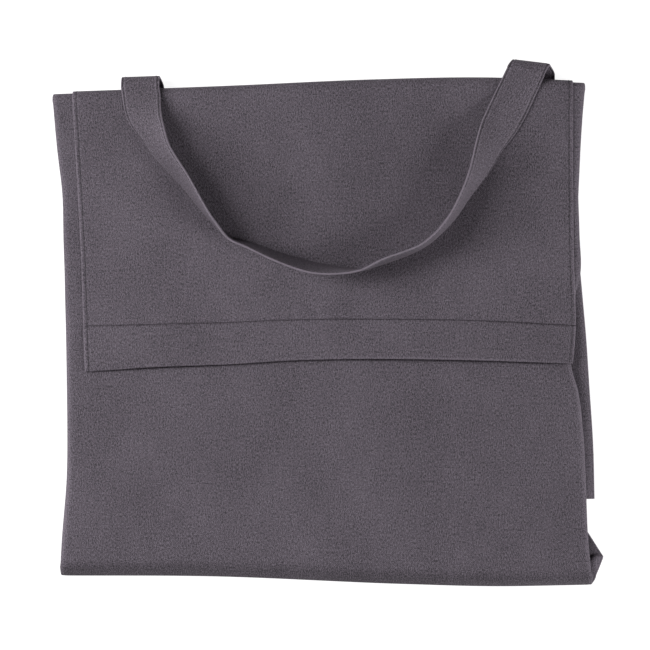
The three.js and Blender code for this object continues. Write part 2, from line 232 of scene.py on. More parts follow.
def bib_row(y, out=0.0):
    """A row across the bib, which narrows along its armholes."""
    rise = y - waist_line(BIB_CENTRE)
    below = max(0, 1 - rise / ARMHOLE_RISE)
    edge = BIB_WIDTH / 2 + (SKIRT_WIDTH - BIB_WIDTH) / 2 * below**ARMHOLE_BEND
    x, height = across(*bib_sides(y), edge, out)
    place = waist_line(x) + (BIB_TOP - waist_line(x)) * rise / BIB_LENGTH
    return np.stack([x, place, BIB_Z - height + ear(x, place)], axis=1)


def waist_row(angle):
    """A row round the waist fold, by its turn from the front."""
    lower = ramp(angle, np.pi / 2, np.pi)
    ends = [FRONT_SIDES["left"][0], FRONT_SIDES["right"][0]]
    left, right = [end + (bib - end) * lower for end, bib in zip(ends, bib_sides(waist_y))]
    x, height = across(left, right, SKIRT_WIDTH / 2)
    beyond = (WAIST_RADIUS + height) * math.sin(angle)
    y = waist_line(x) - beyond
    if angle < np.pi / 2:
        z = FRONT_Z + height - waist_drop(x, beyond, height) + relief(x, waist_line(x)) * math.cos(angle)
    else:
        z = WAIST_Z + (WAIST_Z - BIB_Z + height) * math.cos(angle) + lower * ear(x, y)
    return np.stack([x, y, z], axis=1)


def front_row(y):
    """A row across the front."""
    x, height = across(read(FRONT_SIDES, "left", y), read(FRONT_SIDES, "right", y), SKIRT_WIDTH / 2)
    place = waist_line(x) + (hem_line(x) - waist_line(x)) * (y - waist_y) / (hem_y - waist_y)
    drop = waist_drop(x, waist_line(x) - place, height) + mouth_dent(x, place)
    return np.stack([x, place, FRONT_Z + height + relief(x, place) - drop], axis=1)


def hem_row(angle):
    """A row round the fold at the far edge, by its turn from the front."""
    x, height = across(FRONT_SIDES["left"][-1], FRONT_SIDES["right"][-1], SKIRT_WIDTH / 2)
    radius = HEM_RADIUS + height
    lift = relief(x, hem_line(x)) * (1 + math.cos(angle)) / 2
    z = FRONT_Z - HEM_RADIUS + radius * math.cos(angle) + lift
    return np.stack([x, hem_line(x) + radius * math.sin(angle), z], axis=1)


def skirt_row(y, out=0.0):
    """A row across the end of the skirt, turned under the front."""
    left, right = read(SKIRT_SIDES, "left", y), read(SKIRT_SIDES, "right", y)
    x, height = across(left, right, SKIRT_WIDTH / 2, out)
    place = hem_line(x) + (HEM_LINE - hem_line(x)) * (hem_y - y) / (hem_y - HEM_LINE)
    width = np.interp(place, STRIP_ROLL_Y, STRIP_ROLL_WIDTHS)
    roll = STRIP_ROLL * np.clip(1 - (right - x) / width, 0, 1) ** STRIP_ROLL_BEND
    roll = roll * (1 - ramp(place, *STRIP_ROLL_FADE_Y))
    wave = SKIRT_WAVE * rumple(x, place, size=45, seed=1.7)
    return np.stack([x, place, SKIRT_Z - height + wave - roll], axis=1)


def run(places):
    """The distance along a line of places, from its first one."""
    return np.concatenate([[0], np.cumsum(np.linalg.norm(np.diff(places, axis=0), axis=1))])


def show(mesh, material):
    """An object of a mesh that is done, smooth all over."""
    mesh.shade_smooth()
    mesh.materials.append(material)
    piece = bpy.data.objects.new(mesh.name, mesh)
    bpy.context.collection.objects.link(piece)
    return piece


def made(name, bm):
    """The mesh of a bmesh that is done."""
    mesh = bpy.data.meshes.new(name)
    bm.to_mesh(mesh)
    bm.free()
    return mesh


def cloth_grid(places, flat, wear_and_painted_light):
    """A grid laid through rows of places, with the flat cloth in metres as its UV map, and its wear with
    painted highlights and shade.
    """
    rows, columns = places.shape[:2]
    bm = bmesh.new()
    bmesh.ops.create_grid(bm, x_segments=columns - 1, y_segments=rows - 1, size=0.5)
    cloth = bm.loops.layers.uv.new("cloth")
    wear_and_light_layer = bm.verts.layers.float.new("wear_and_painted_light")
    for vert in bm.verts:
        row, column = round((vert.co.y + 0.5) * (rows - 1)), round((vert.co.x + 0.5) * (columns - 1))
        vert.co = Vector(places[row, column]) * MM
        vert[wear_and_light_layer] = wear_and_painted_light[row, column]
        for loop in vert.link_loops:
            loop[cloth].uv = flat[row, column] * MM
    return bm


def sheet_piece(name, places, wear_and_painted_light, material):
    """A sheet of twill through rows of places."""
    middle = places.shape[1] // 2
    widths = np.array([run(row) for row in places])
    widths -= widths[:, middle:middle + 1]
    lengths = np.repeat(run(places[:, middle])[:, None], places.shape[1], axis=1)
    piece = show(made(name, cloth_grid(places, np.stack([widths, lengths], axis=2), wear_and_painted_light)), material)
    wall = piece.modifiers.new("wall", "SOLIDIFY")
    wall.thickness = TWILL * MM
    wall.offset = 0
    return piece


class Shade:
    """A socket in a material's nodes. Arithmetic on it adds Math nodes, and node() adds any other."""

    def __init__(self, tree, socket=None):
        self.tree, self.socket = tree, socket

    def node(self, kind, settings, inputs, output=0):
        made_node = self.tree.nodes.new(kind)
        for name, value in settings.items():
            setattr(made_node, name, value)
        for name, value in inputs.items():
            if isinstance(value, Shade):
                self.tree.links.new(value.socket, made_node.inputs[name])
            else:
                made_node.inputs[name].default_value = value
        return Shade(self.tree, made_node.outputs[output])

    def math(self, operation, *values):
        return self.node("ShaderNodeMath", {"operation": operation}, dict(enumerate(values)))

    def __add__(self, other):
        return self.math("ADD", self, other)

    def __sub__(self, other):
        return self.math("SUBTRACT", self, other)

    def __rsub__(self, other):
        return self.math("SUBTRACT", other, self)

    def __mul__(self, other):
        return self.math("MULTIPLY", self, other)

    __radd__, __rmul__ = __add__, __mul__

    def wave(self, length):
        """A sine from -1 to 1 that repeats with that length."""
        return self.math("SINE", self * (2 * math.pi / length))


YARN = 0.00042  # metres between neighbouring yarns
MAUVE_GREY = (0.1037, 0.0895, 0.1077)
CONTRAST = 0.68  # of the darkest and the lightest yarns
FOLD_WEAR_AND_HIGHLIGHT, FOLD_PALE_REACH = 0.3, 2.5  # how much paler than the cloth a fold is, rubbed and as a painted highlight of the light its roll catches, and how far beside it
FLAP_PALE_SHARE, FLAP_PALE_Y = 0.06, (-120, -50)  # the pale share of the turned-in flaps, towards the waist alone, which paints light onto the ear there as well as wear
WAIST_SHADE, WAIST_SHADE_REACH = 0.2, (-13, -5)  # painted shade: how much darker the front is towards the waist fold, where it turns down away from the light, and from where
MOUTH_SHADE = 0.14  # painted shade: how much darker the cloth is at the mouth, for each millimetre that it dips
SHADE_LINE, SHADE_LINE_WIDTH = 0.6, 0.9  # where the painted dark line there is, and its width
SHADE_HALO, HALO_WIDTH = 0.3, 3.5  # the fainter painted shade beside it


def twill_finish(name, colour):
    """Dyed cotton twill: slanting ribs, mottled yarn by yarn, with a slow change of tone over it."""
    material = bpy.data.materials.new(name)
    material.use_nodes = True
    shader = material.node_tree.nodes["Principled BSDF"]
    start = Shade(material.node_tree)
    cloth = start.node("ShaderNodeUVMap", {"uv_map": "cloth"}, {})
    u = start.node("ShaderNodeSeparateXYZ", {}, {"Vector": cloth}, "X")
    v = start.node("ShaderNodeSeparateXYZ", {}, {"Vector": cloth}, "Y")

    def mottle(across_metre, along_metre, detail):
        scales = {0: cloth, 1: (across_metre, along_metre, 1)}
        spread = start.node("ShaderNodeVectorMath", {"operation": "MULTIPLY"}, scales)
        inputs = {"Vector": spread, "Scale": 1, "Detail": detail}
        return start.node("ShaderNodeTexNoise", {"noise_dimensions": "2D"}, inputs) - 0.5

    ribs = (u + v * 0.85).wave(3 * YARN)
    slubs, flecks, fade = mottle(1500, 600, 0), mottle(1450, 1300, 1), mottle(24, 16, 3)
    warp, weft = mottle(950, 60, 0), mottle(60, 800, 0)
    # the attribute adds wear, painted highlights and painted shade to the tone
    wear_and_painted_light = start.node("ShaderNodeAttribute", {"attribute_name": "wear_and_painted_light"}, {}, "Fac")
    yarns = ribs * 0.06 + slubs * 0.9 + flecks * 1.6 + warp * 0.2 + weft * 0.1
    tone = 0.5 + yarns + fade * 0.3 + wear_and_painted_light
    dark = (*[part * (1 - CONTRAST) for part in colour], 1)
    light = (*[part * (1 + CONTRAST) for part in colour], 1)
    mixed = start.node("ShaderNodeMix", {"data_type": "RGBA"}, {"Factor": tone, 6: dark, 7: light}, 2)
    height = ribs * 0.5 + slubs * 1.2 + flecks * 1.4
    bump = start.node("ShaderNodeBump", {}, {"Strength": 0.5, "Distance": 0.0002, "Height": height})
    links = material.node_tree.links
    links.new(mixed.socket, shader.inputs["Base Color"])
    links.new((0.88 + flecks * 0.15).socket, shader.inputs["Roughness"])
    links.new(bump.socket, shader.inputs["Normal"])
    shader.inputs["Specular IOR Level"].default_value = 0.2
    shader.inputs["Sheen Weight"].default_value = 0.04
    shader.inputs["Sheen Roughness"].default_value = 0.5
    shader.inputs["Sheen Tint"].default_value = (1, 0.86, 1, 1)
    return material


apron_twill = twill_finish("apron_twill", MAUVE_GREY)
dent_start, dent_end = -37, -19  # the front's rows lie closest between these, for the dent at the mouth
ear_end = -125  # and those of the bib below this, for the ear
front_places = np.concatenate([
    np.linspace(waist_y, dent_start, 52)[1:],
    np.linspace(dent_start, dent_end, 37)[1:],
    np.linspace(dent_end, hem_y, 66)[1:-1],
])
apron_rows = [bib_row(y) for y in np.linspace(BIB_TOP, ear_end, 30)]
apron_rows += [bib_row(y) for y in np.linspace(ear_end, waist_y, 40)[1:-1]]
apron_rows += [waist_row(angle) for angle in np.linspace(np.pi, 0, 21)]
apron_rows += [front_row(y) for y in front_places]
apron_rows += [hem_row(angle) for angle in np.linspace(0, np.pi, 13)]
apron_rows += [skirt_row(y) for y in np.linspace(hem_y, HEM_LINE, 42)[1:]]
apron_places = np.array(apron_rows)
apron_x, apron_y, apron_z = np.moveaxis(apron_places, 2, 0)
# paler folds: partly wear, partly painted highlight where the rolled edges catch the light
beside_fold = np.clip(1 - flap_shares / FLAP_PALE_SHARE, 0, 1)[::-1]
fold_wear_and_highlight = np.concatenate([beside_fold, np.sin(turns)[::-1], np.clip(1 - edge_steps / FOLD_PALE_REACH, 0, 1)])
worn_and_lit = np.zeros(apron_x.shape)
worn_and_lit[:, :len(fold_wear_and_highlight)] = fold_wear_and_highlight
worn_and_lit[:, -len(fold_wear_and_highlight):] = fold_wear_and_highlight[::-1]
for flap in (slice(len(flap_shares)), slice(-len(flap_shares), None)):
    worn_and_lit[:, flap] *= 1 - ramp(apron_y[:, flap], *FLAP_PALE_Y)
# painted shade in the crevice under the pocket's mouth, deeper where the front dips more
from_mouth = read(MOUTH_DENT, "y", apron_x) - apron_y
mouth_shade_mask = hump(from_mouth - SHADE_LINE, SHADE_LINE_WIDTH)
mouth_shade_mask += SHADE_HALO * np.exp(-np.abs(from_mouth) / HALO_WIDTH)
mouth_shade = MOUTH_SHADE * read(MOUTH_DENT, "depth", apron_x) * mouth_shade_mask
on_front = apron_z > SKIRT_Z + 2 * SIDE_RADIUS + TWILL
# painted shade on the waist fold, where it slopes away from the light
waist_shade = WAIST_SHADE * ramp(read(WAIST_FOLD, "y", apron_x) - apron_y, *WAIST_SHADE_REACH)
apron_wear_and_shading = FOLD_WEAR_AND_HIGHLIGHT * worn_and_lit - mouth_shade * on_front - waist_shade
apron = sheet_piece("apron_cloth", apron_places, apron_wear_and_shading, apron_twill)
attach(apron, "root")
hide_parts("apron_body")

# The apron's hem stitching
# Cotton thread in a line of lock stitches, through the turned hem at the skirt's end and the one at the
# bib's top. Each stitch lies a little sunk in the cloth.

THREAD, SUNK = 0.75, 0.12  # across, and how deep it lies
STITCH_PITCH, STITCH_SHARE = 2.7, 0.8  # from stitch to stitch, and the share that a stitch takes of it
SKIRT_HEM, BIB_HEM = 30, 22  # from the cut edge to the seam
THREAD_COLOUR = (0.024, 0.020, 0.025)
PLY_TONES = (0.6, 1.4)  # of its darkest and lightest plies


def thread_finish(name):
    """Dyed cotton thread, darker than the cloth, with its plies in uneven tones."""
    material = bpy.data.materials.new(name)
    material.use_nodes = True
    shader = material.node_tree.nodes["Principled BSDF"]
    start = Shade(material.node_tree)
    place = start.node("ShaderNodeTexCoord", {}, {}, "Object")
    plies = start.node("ShaderNodeTexNoise", {}, {"Vector": place, "Scale": 2200, "Detail": 1})
    dark, light = [(*[part * share for part in THREAD_COLOUR], 1) for share in PLY_TONES]
    mixed = start.node("ShaderNodeMix", {"data_type": "RGBA"}, {"Factor": plies, 6: dark, 7: light}, 2)
    bump = start.node("ShaderNodeBump", {}, {"Strength": 0.4, "Distance": 0.0001, "Height": plies})
    links = material.node_tree.links
    links.new(mixed.socket, shader.inputs["Base Color"])
    links.new(bump.socket, shader.inputs["Normal"])
    shader.inputs["Roughness"].default_value = 0.75
    return material


def sew(name, seams, material, width=THREAD):
    """Stitches along seams. A seam has its places, the ways out of the cloth and its stitches' pitch."""
    bm = bmesh.new()
    bmesh.ops.create_icosphere(bm, subdivisions=1, radius=0.5)
    bm.verts.index_update()
    shape = np.array([vert.co for vert in bm.verts])
    corners = np.array([[vert.index for vert in face.verts] for face in bm.faces])
    bm.free()
    stitches = []
    for places, ways, pitch in seams:
        lengths = run(places)
        at = np.arange(pitch / 2, lengths[-1], pitch)
        headings = np.gradient(places, axis=0)
        middle, ahead, out = [
            np.stack([np.interp(at, lengths, values[:, i]) for i in range(3)], axis=1)
            for values in (places, headings, ways)
        ]
        side = np.cross(out, ahead)
        ahead, side = [way / np.linalg.norm(way, axis=1)[:, None] for way in (ahead, side)]
        axes = [ahead * pitch * STITCH_SHARE, side * width, np.cross(ahead, side) * width]
        frames = np.stack(axes, axis=1)
        stitches.append(middle[:, None] + shape @ frames)
    stitches = np.concatenate(stitches)
    faces = corners + len(shape) * np.arange(len(stitches))[:, None, None]
    mesh = bpy.data.meshes.new(name)
    mesh.from_pydata(stitches.reshape(-1, 3) * MM, [], faces.reshape(-1, 3).tolist())
    return show(mesh, material)


def outside(row, y):
    """A seam along one row of the apron, on the outside of its cloth."""
    places, outer = row(y, TWILL / 2 - SUNK), row(y, TWILL / 2 + 1)
    return places, outer - places, STITCH_PITCH


thread = thread_finish("sewing_thread")
hem_seams = [outside(skirt_row, HEM_LINE + SKIRT_HEM), outside(bib_row, BIB_TOP - BIB_HEM)]
hem_stitches = sew("hem_stitches", hem_seams, thread)
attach(hem_stitches, "root")

# The pocket
# A patch of the same twill, hemmed at its mouth and stitched down near both sides. It goes over the folded
# edge and a little way under it.

POCKET_OVER = 1.35  # its middle over the front's
POCKET_BACK = 24  # its length under the folded edge
HEM_WIDTH = 27  # about, as it differs along the mouth
HEM_RISE, HEM_STEP = 1.0, (-0.6, 0.5)  # the turned cloth under the hem lifts it, as far as the seam
LIP_RADIUS = 0.55
LIP_RIDGE, LIP_RIDGE_WIDTH = 0.3, 1.3  # the fold at the mouth stands up a little
POCKET_GAPE, GAPE_LENGTH, GAPE_CORNER = 1.6, 50, (2, 40)  # how far the mouth stands open
SEAM_INSET = 2.5  # of the seams at its sides
SEAM_DEPTH, HEM_GROOVE, SIDE_GROOVE = 0.55, 0.7, 0.9  # of all its seams, and how wide they are
HEM_PUCKER, HEM_PUCKER_REACH, PUCKER_CORNER = 0.5, 8, (3, 9)  # slanting puckers beside the hem's seam
SIDE_PUCKER, SIDE_PUCKER_REACH = 0.35, 5  # short ones at its sides
EDGE_CURL, CURL_SHARE = 0.9, 0.75  # its sides curl down, over that share of the seam's inset
EDGE_WEAR_AND_HIGHLIGHT, SEAM_SHADE = 0.28, 0.22  # how much paler the cloth is at its edges, from wear and as a painted highlight, and darker along its seams, as painted shade in their grooves
SEAM_SHADE_SPREAD = 0.45  # to each side of a seam
SIDE_GAIN = 1.3  # both are stronger at its sides, by that much
MOUTH_PALE_REACH, SIDE_PALE_REACH = 0.9, 1.6  # how far in from its edges it is paler
CLOSED_LIP_SHARE = 0.2  # the mouth's share of that where it doesn't gape, so the lip's painted highlight shows most where it stands open
MOUTH_Y = -25  # about where the mouth is, for the reading of the sides
POCKET_MOUTH = table(
    "x y gape hem",
    (-165, -32, 0, 30), (-120, -28.9, 0.05, 28), (-60, -26.5, 0.1, 27.2), (-30, -24.5, 0.2, 26.5),
    (0, -23.5, 0.4, 26.1), (60, -23.4, 0.9, 25.8), (90, -23.9, 1, 25.9), (165, -26.4, 0, 24.9),
)
POCKET_SIDES = table(
    "y left right",
    (-30, -165.2, 165.4), (0, -166.6, 167.6), (45, -167.9, 166.5), (108, -171.2, 165.8),
    (160, -174.2, 165.9),
)


def pocket_sides(distance):
    """X of the pocket's two sides at a distance from its mouth."""
    return [read(POCKET_SIDES, side, MOUTH_Y + distance) for side in ("left", "right")]


def pocket_place(x, distance, out=0.0):
    """Places on the pocket's front by their distance from the mouth, counted as if the hem were even."""
    left, right = pocket_sides(distance)
    edge = np.clip(np.minimum(x - left, right - x), 0, None)
    hem = read(POCKET_MOUTH, "hem", x)
    beyond_hem = hem + (distance / HEM_WIDTH - 1) * (2 * HEM_WIDTH - hem)
    even = np.where(distance < 2 * HEM_WIDTH, beyond_hem, distance)
    y = read(POCKET_MOUTH, "y", x) + np.where(distance < HEM_WIDTH, distance * hem / HEM_WIDTH, even)
    from_seam = np.abs(distance - HEM_WIDTH)
    rise = HEM_RISE * (1 - ramp(distance - HEM_WIDTH, *HEM_STEP))
    gape = POCKET_GAPE * read(POCKET_MOUTH, "gape", x) * (1 - ramp(distance, 0, GAPE_LENGTH))
    lip_ridge = LIP_RIDGE * hump(distance, LIP_RIDGE_WIDTH)
    pucker = HEM_PUCKER * rumple(x + distance / 2, distance / 4, size=6.5, seed=2.2)
    pucker = pucker * np.exp(-from_seam / HEM_PUCKER_REACH)
    side_pucker = SIDE_PUCKER * rumple(edge / 5, distance, size=5.5, seed=6.2)
    side_pucker = side_pucker * np.exp(-edge / SIDE_PUCKER_REACH)
    groove = SEAM_DEPTH * (hump(from_seam, HEM_GROOVE) + hump(edge - SEAM_INSET, SIDE_GROOVE))
    curl = EDGE_CURL * (1 - np.sqrt(1 - np.clip(1 - edge / SEAM_INSET / CURL_SHARE, 0, 1) ** 2))
    stands = rise + gape * ramp(edge, *GAPE_CORNER) + lip_ridge - groove - curl
    stands = stands + pucker * ramp(edge, *PUCKER_CORNER) + side_pucker
    return np.stack([x, y, FRONT_Z + POCKET_OVER + relief(x, y) + stands + out], axis=1)


side_steps = np.array([0, 0.4, 0.8, 1.3, 2, 2.5, 2.9, 3.3, 3.7, 4.2, 5, 6.2])
pocket_inner_start, pocket_inner_columns = side_steps[-1] + 1.6, 165


def pocket_columns(distance):
    """X of the columns across a row of the pocket, closest at its sides."""
    left, right = pocket_sides(distance)
    inner = np.linspace(left + pocket_inner_start, right - pocket_inner_start, pocket_inner_columns)
    return np.concatenate([left + side_steps, inner, (right - side_steps)[::-1]])


def over_fold(x, angle, out=0.0):
    """Places on the pocket where it goes round the folded edge."""
    radius = HEM_RADIUS + POCKET_OVER
    top = pocket_place(x, hem_line(x) - read(POCKET_MOUTH, "y", x))[:, 2] - FRONT_Z - POCKET_OVER
    z = FRONT_Z - HEM_RADIUS + (radius + out) * math.cos(angle) + top * (1 + math.cos(angle)) / 2
    return np.stack([x, hem_line(x) + (radius + out) * math.sin(angle), z], axis=1)


def turned_under(distance):
    """A row of the hem's turned cloth, under the hem."""
    return pocket_place(pocket_columns(distance), distance, -2 * LIP_RADIUS)


def lip(angle):
    """A row round the fold at the mouth."""
    places = pocket_place(pocket_columns(0), 0, LIP_RADIUS * (math.cos(angle) - 1))
    return places - [0, LIP_RADIUS * math.sin(angle), 0]


def upper(share):
    """A row between the hem and the folded edge."""
    start = 2 * HEM_WIDTH
    x = pocket_columns(start + share * (hem_y - MOUTH_Y - start))
    return pocket_place(x, start + share * (hem_line(x) - read(POCKET_MOUTH, "y", x) - start))


def under(distance):
    """A row under the apron, towards the pocket's lower edge."""
    x = pocket_columns(hem_y - MOUTH_Y)
    return np.stack([x, hem_line(x) - distance, 0 * x + SKIRT_Z - POCKET_OVER], axis=1)


seam_steps = HEM_WIDTH + np.array([-1.4, -0.9, -0.6, -0.35, -0.1, 0.15, 0.4, 0.7, 1.1, 1.6])
mouth_steps = [0, 0.5, 1, 1.6, 2.4, 3.4]
band_steps = np.linspace(5, HEM_WIDTH - 2, 13)
front_steps = [*mouth_steps, *band_steps, *seam_steps, *np.linspace(HEM_WIDTH + 3, 2 * HEM_WIDTH, 14)]
pocket_rows = [turned_under(distance) for distance in np.linspace(HEM_WIDTH - 1, 0, 12)]
pocket_rows += [lip(angle) for angle in np.linspace(np.pi, 0, 9)[1:-1]]
lip_end = len(pocket_rows)
pocket_rows += [pocket_place(pocket_columns(distance), distance) for distance in front_steps]
pocket_rows += [upper(share) for share in np.linspace(0, 1, 60)[1:]]
fold_x = pocket_columns(hem_y - MOUTH_Y)
pocket_rows += [over_fold(fold_x, angle) for angle in np.linspace(0, np.pi, 15)[1:]]
pocket_rows += [under(distance) for distance in np.linspace(0, POCKET_BACK, 8)[1:]]


def pale_edge_dark_seam(from_edge, seam, worn_and_lit):
    """Cloth paler as far from its edge as that, from wear and as a painted highlight, and darker along a
    seam as painted shade in its groove.
    """
    pale = EDGE_WEAR_AND_HIGHLIGHT * np.clip(1 - from_edge / worn_and_lit, 0, 1)
    return pale - SEAM_SHADE * hump(from_edge - seam, SEAM_SHADE_SPREAD)


pocket_places = np.array(pocket_rows)
pocket_wear_and_shading = np.zeros(pocket_places.shape[:2])
pocket_wear_and_shading[lip_end - 5:lip_end] = EDGE_WEAR_AND_HIGHLIGHT  # the rows of the lip that show, paler from wear and as a painted highlight
front_wear_and_shading = pale_edge_dark_seam(np.array(front_steps), HEM_WIDTH, MOUTH_PALE_REACH)
pocket_wear_and_shading[lip_end:lip_end + len(front_steps)] = front_wear_and_shading[:, None]
mouth_gape = read(POCKET_MOUTH, "gape", pocket_places[lip_end, :, 0])
pocket_wear_and_shading[:lip_end + 4] *= CLOSED_LIP_SHARE + (1 - CLOSED_LIP_SHARE) * mouth_gape
side_wear_and_shading = SIDE_GAIN * pale_edge_dark_seam(side_steps, SEAM_INSET, SIDE_PALE_REACH)
pocket_wear_and_shading[:, :len(side_steps)] += side_wear_and_shading
pocket_wear_and_shading[:, -len(side_steps):] += side_wear_and_shading[::-1]
pocket = sheet_piece("pocket_cloth", pocket_places, pocket_wear_and_shading, apron_twill)
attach(pocket, "root")
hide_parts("pocket")

# The pocket's stitching
# The same thread in one line along the hem and one up each side. A short bar of close stitches holds each
# corner of the mouth.

BAR_LENGTH, BAR_PITCH = 5, 0.8
SLOPE_STEP = 0.6  # to each side of a place, for the slope of the cloth there
SEAM_STEP = 1.2  # between the places of a side's seam
POCKET_HALF = 170.0  # about, where its sides go over the folded edge


def on_pocket(x, distance, pitch=STITCH_PITCH):
    """A seam on the pocket's front, through places given by their distances from its mouth."""
    surface = pocket_place(x, distance, TWILL / 2 - SUNK)
    along_x = pocket_place(x + SLOPE_STEP, distance) - pocket_place(x - SLOPE_STEP, distance)
    along_y = pocket_place(x, distance + SLOPE_STEP) - pocket_place(x, distance - SLOPE_STEP)
    return surface, np.cross(along_x, along_y), pitch


def side_seam(way, first, last, pitch=STITCH_PITCH):
    """A seam up one side of the pocket."""
    distance = np.arange(first, last, SEAM_STEP)
    left, right = pocket_sides(distance)
    return on_pocket(left + SEAM_INSET if way < 0 else right - SEAM_INSET, distance, pitch)


def fold_seam(way):
    """The rest of a side's seam, round the folded edge."""
    left, right = pocket_sides(hem_y - MOUTH_Y)
    x = np.array([left + SEAM_INSET if way < 0 else right - SEAM_INSET])
    angles = np.linspace(0, np.pi, 24)
    depths = (TWILL / 2 - SUNK, TWILL / 2 + 1)
    inner, outer = [np.concatenate([over_fold(x, angle, out) for angle in angles]) for out in depths]
    return inner, outer - inner, STITCH_PITCH


hem_left, hem_right = pocket_sides(HEM_WIDTH)
hem_x = np.linspace(hem_left + SEAM_INSET, hem_right - SEAM_INSET, 280)
pocket_seams = [on_pocket(hem_x, np.full(len(hem_x), float(HEM_WIDTH)))]
for way in (-1, 1):
    top_end = hem_line(way * POCKET_HALF) - read(POCKET_MOUTH, "y", way * POCKET_HALF)
    pocket_seams += [side_seam(way, 2, top_end), fold_seam(way)]
    pocket_seams.append(side_seam(way, 1, 1 + BAR_LENGTH, BAR_PITCH))
pocket_stitches = sew("pocket_stitches", pocket_seams, thread)
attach(pocket_stitches, "root")

# The neck strap
# A band of twill folded over and stitched along both edges, sewn to the bib's corners. It comes over the
# folded edge lying flat, twists onto its edge and goes round in one bend.

STRAP_WIDTH, STRAP_THICK, STRAP_SEWN = 26, 1.6, 25
STRAP_OVER_POCKET, STRAP_OVER_BIB, STRAP_OVER_TABLE = 0.85, 0.3, 0.25
STRAP_FLOOR = FRONT_Z + POCKET_OVER + STRAP_OVER_POCKET
STRAP_LOW = STRAP_OVER_TABLE + STRAP_THICK / 2  # its middle where it lies on the table
STRAP_SEAM, STRAP_GROOVE, STRAP_THREAD = 1.4, 0.28, 0.42  # from each edge, how deep, and its thread's width
STRAP_RIDGE, RIDGE_INSET, RIDGE_WEAR_AND_HIGHLIGHT = 0.15, 2.3, 0.3  # the cloth stands up inside the seam, rubbed pale and with a painted highlight along it
RIDGE_WIDTH = 0.5  # of the ridge and of the seam's groove
STRAP_PALE_REACH, RIM_WEAR_AND_HIGHLIGHT = 0.7, 0.55  # its edges are paler too, as far in as that: rubbed, and painted as the lit rim of the edge
STRAP_RIPPLE = 0.2  # how far its faces stand out of true
LOOP_BEND = 1.5  # over 1, so that in its loop it goes sideways mostly near the apex
# the apron's mauve grey made paler, painted light on the faces of the strap and ties
LIT_STRAP_GREY = (0.1130, 0.0975, 0.1172)
STRAP_ON_POCKET = table(  # its inner edge, and its lean from flat to upright
    "x y lean",
    (-114.2, 155.3, 3), (-113.4, 144.4, 19), (-110.7, 131.9, 43), (-107.2, 120.1, 57), (-95, 100, 71),
    (-75.7, 67.2, 87), (-67.2, 56.7, 92), (-55, 50.9, 99), (-36.6, 42.1, 104), (-10.8, 33.7, 107),
    (10.3, 33.6, 99), (21.9, 35.9, 91), (34.1, 42.1, 85), (64.7, 54.8, 85), (81, 72.7, 80),
    (89.5, 89.7, 73), (94.4, 103.7, 60), (99.4, 124, 39), (103.3, 136.4, 21), (112.4, 156, 3),
)
STRAP_LOOPS = {  # X of its middle over, at and under the edge, Y of its loop, and the way its width points
    "left": {"top": -128.2, "apex": -128.1, "beneath": -125.6, "reach": 168.4, "turned": (1, 3)},
    "right": {"top": 133.5, "apex": 137.9, "beneath": 141.7, "reach": 178.5, "turned": (167, 180)},
}


def level(degrees):
    """A level way, by its turn from the right."""
    return Vector((math.cos(math.radians(degrees)), math.sin(math.radians(degrees)), 0))


def strap_end(top, apex, beneath, reach, turned):
    """Middles and widths of one end, from the bib, up under the apron and over the folded edge."""
    high = STRAP_FLOOR + STRAP_THICK / 2
    radius = (high - STRAP_LOW) / 2
    turn_y = reach - radius - STRAP_THICK / 2
    sewn = BIB_Z + TWILL / 2 + STRAP_OVER_BIB + STRAP_THICK / 2
    flat = [(y, sewn) for y in np.linspace(BIB_TOP - STRAP_SEWN, BIB_TOP + 1, 8)]
    flat += [(y, STRAP_LOW) for y in np.linspace(BIB_TOP + 8, turn_y - 2, 12)]
    sections = [(Vector((beneath, y, z)), level(turned[1])) for y, z in flat]
    for share in np.linspace(0, 1, 17):
        out = math.sin(share * math.pi)
        x = apex + ((beneath if share < 0.5 else top) - apex) * (1 - out**LOOP_BEND)
        y = turn_y + radius * out
        z = (STRAP_LOW + high) / 2 - radius * math.cos(share * math.pi)
        sections.append((Vector((x, y, z)), level(turned[1] + (turned[0] - turned[1]) * share)))
    return sections


def strap_sections():
    """The strap's middles and the way its width points, from one end to the other."""
    rows = np.stack([STRAP_ON_POCKET[column] for column in ("x", "y", "lean")], axis=1)
    by_run = table("along x y lean", *[(at, *row) for at, row in zip(run(rows), rows)])
    places = np.linspace(0, by_run["along"][-1], 10 * len(rows))
    x, y, lean = (read(by_run, column, places) for column in ("x", "y", "lean"))
    headings = np.stack([np.gradient(x), np.gradient(y)], axis=1)
    headings /= np.linalg.norm(headings, axis=1)[:, None]
    bend = []
    for place_x, place_y, degrees, (ahead_x, ahead_y) in zip(x, y, lean, headings):
        flat, up = math.cos(math.radians(degrees)), math.sin(math.radians(degrees))
        inward = Vector((-ahead_y, ahead_x, 0))
        lift = STRAP_FLOOR + up * STRAP_WIDTH / 2 + abs(flat) * STRAP_THICK / 2
        place = Vector((place_x, place_y, lift)) - inward * flat * STRAP_WIDTH / 2
        bend.append((place, inward * flat + Vector((0, 0, up))))
    return strap_end(**STRAP_LOOPS["left"]) + bend + strap_end(**STRAP_LOOPS["right"])[::-1]


